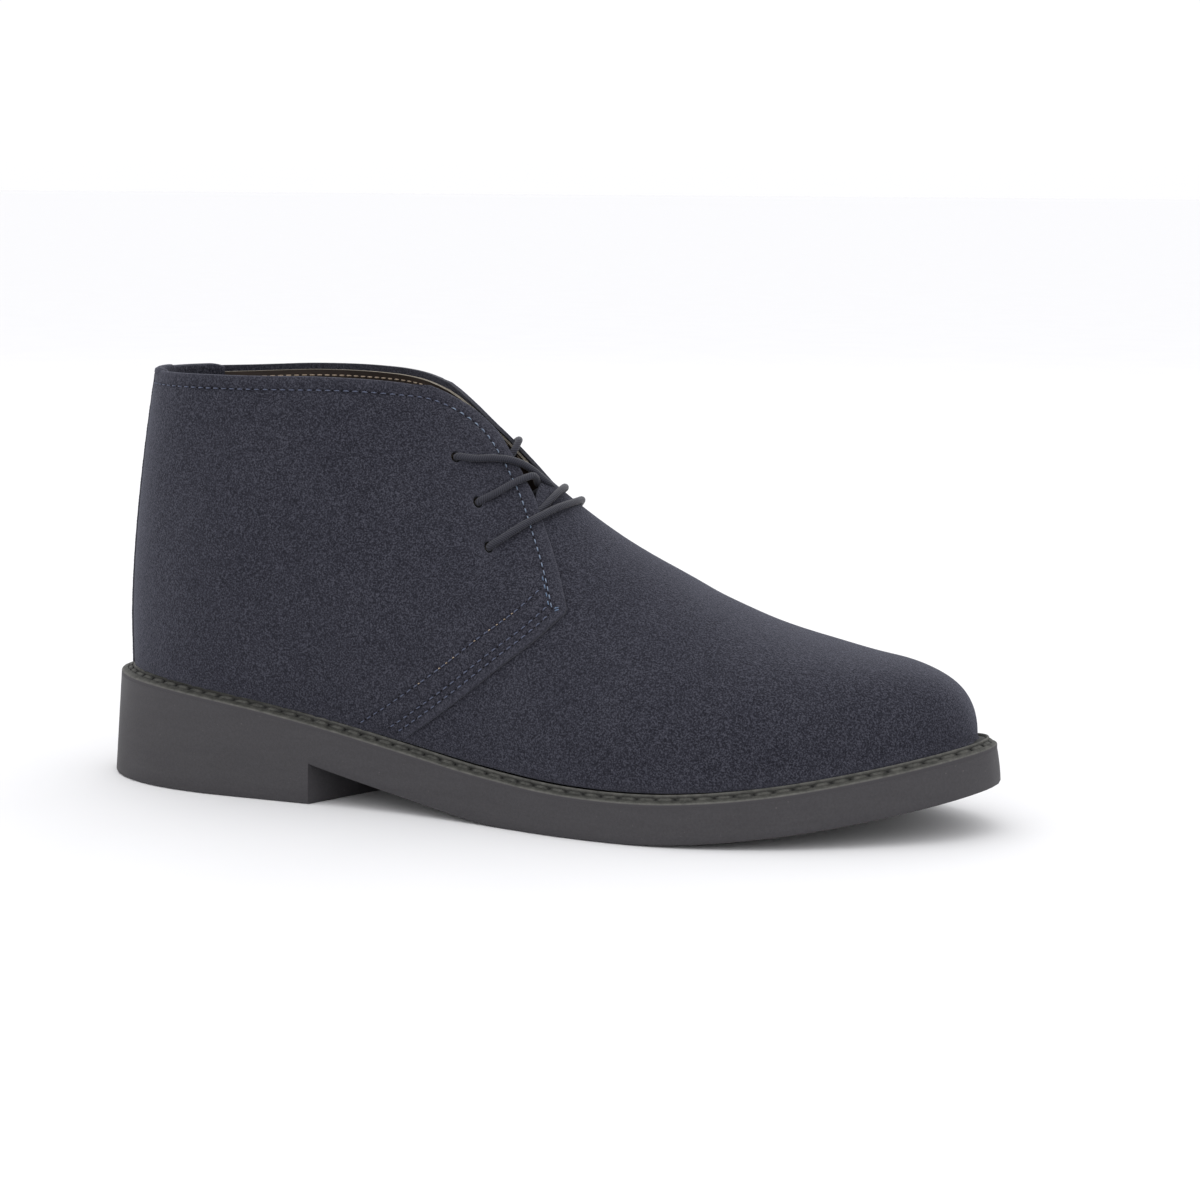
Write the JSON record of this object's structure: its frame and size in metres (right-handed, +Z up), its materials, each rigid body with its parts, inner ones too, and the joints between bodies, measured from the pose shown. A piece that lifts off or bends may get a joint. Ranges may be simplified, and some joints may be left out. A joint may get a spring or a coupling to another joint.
{
  "type": "chukka boot",
  "caption": "Ankle-high lace-up boot for the right foot: hollow suede upper with open collar and throat, tongue, short laces, insole, welt and moulded heeled sole.",
  "frame": {"origin": "on the ground, under the middle of the sole's bounding box", "axes": "+X from heel to toe, +Y to the inner side of the foot, +Z up"},
  "size_m": [0.3, 0.107, 0.1347],
  "materials": {
    "suede": "brushed navy suede, matt",
    "lining": "smooth dark brown leather",
    "rubber": "moulded dark grey rubber, matt",
    "welting": "moulded dark grey-brown strip, matt",
    "cord": "round waxed navy cotton"
  },
  "bodies": {
    "root": {"outsole": "rubber", "welt": "welting", "insole": "lining", "upper": "suede", "tongue": "suede", "lace_bar_bottom": "cord", "lace_cross_middle": "cord", "lace_cross_top": "cord"}
  },
  "joints": []
}
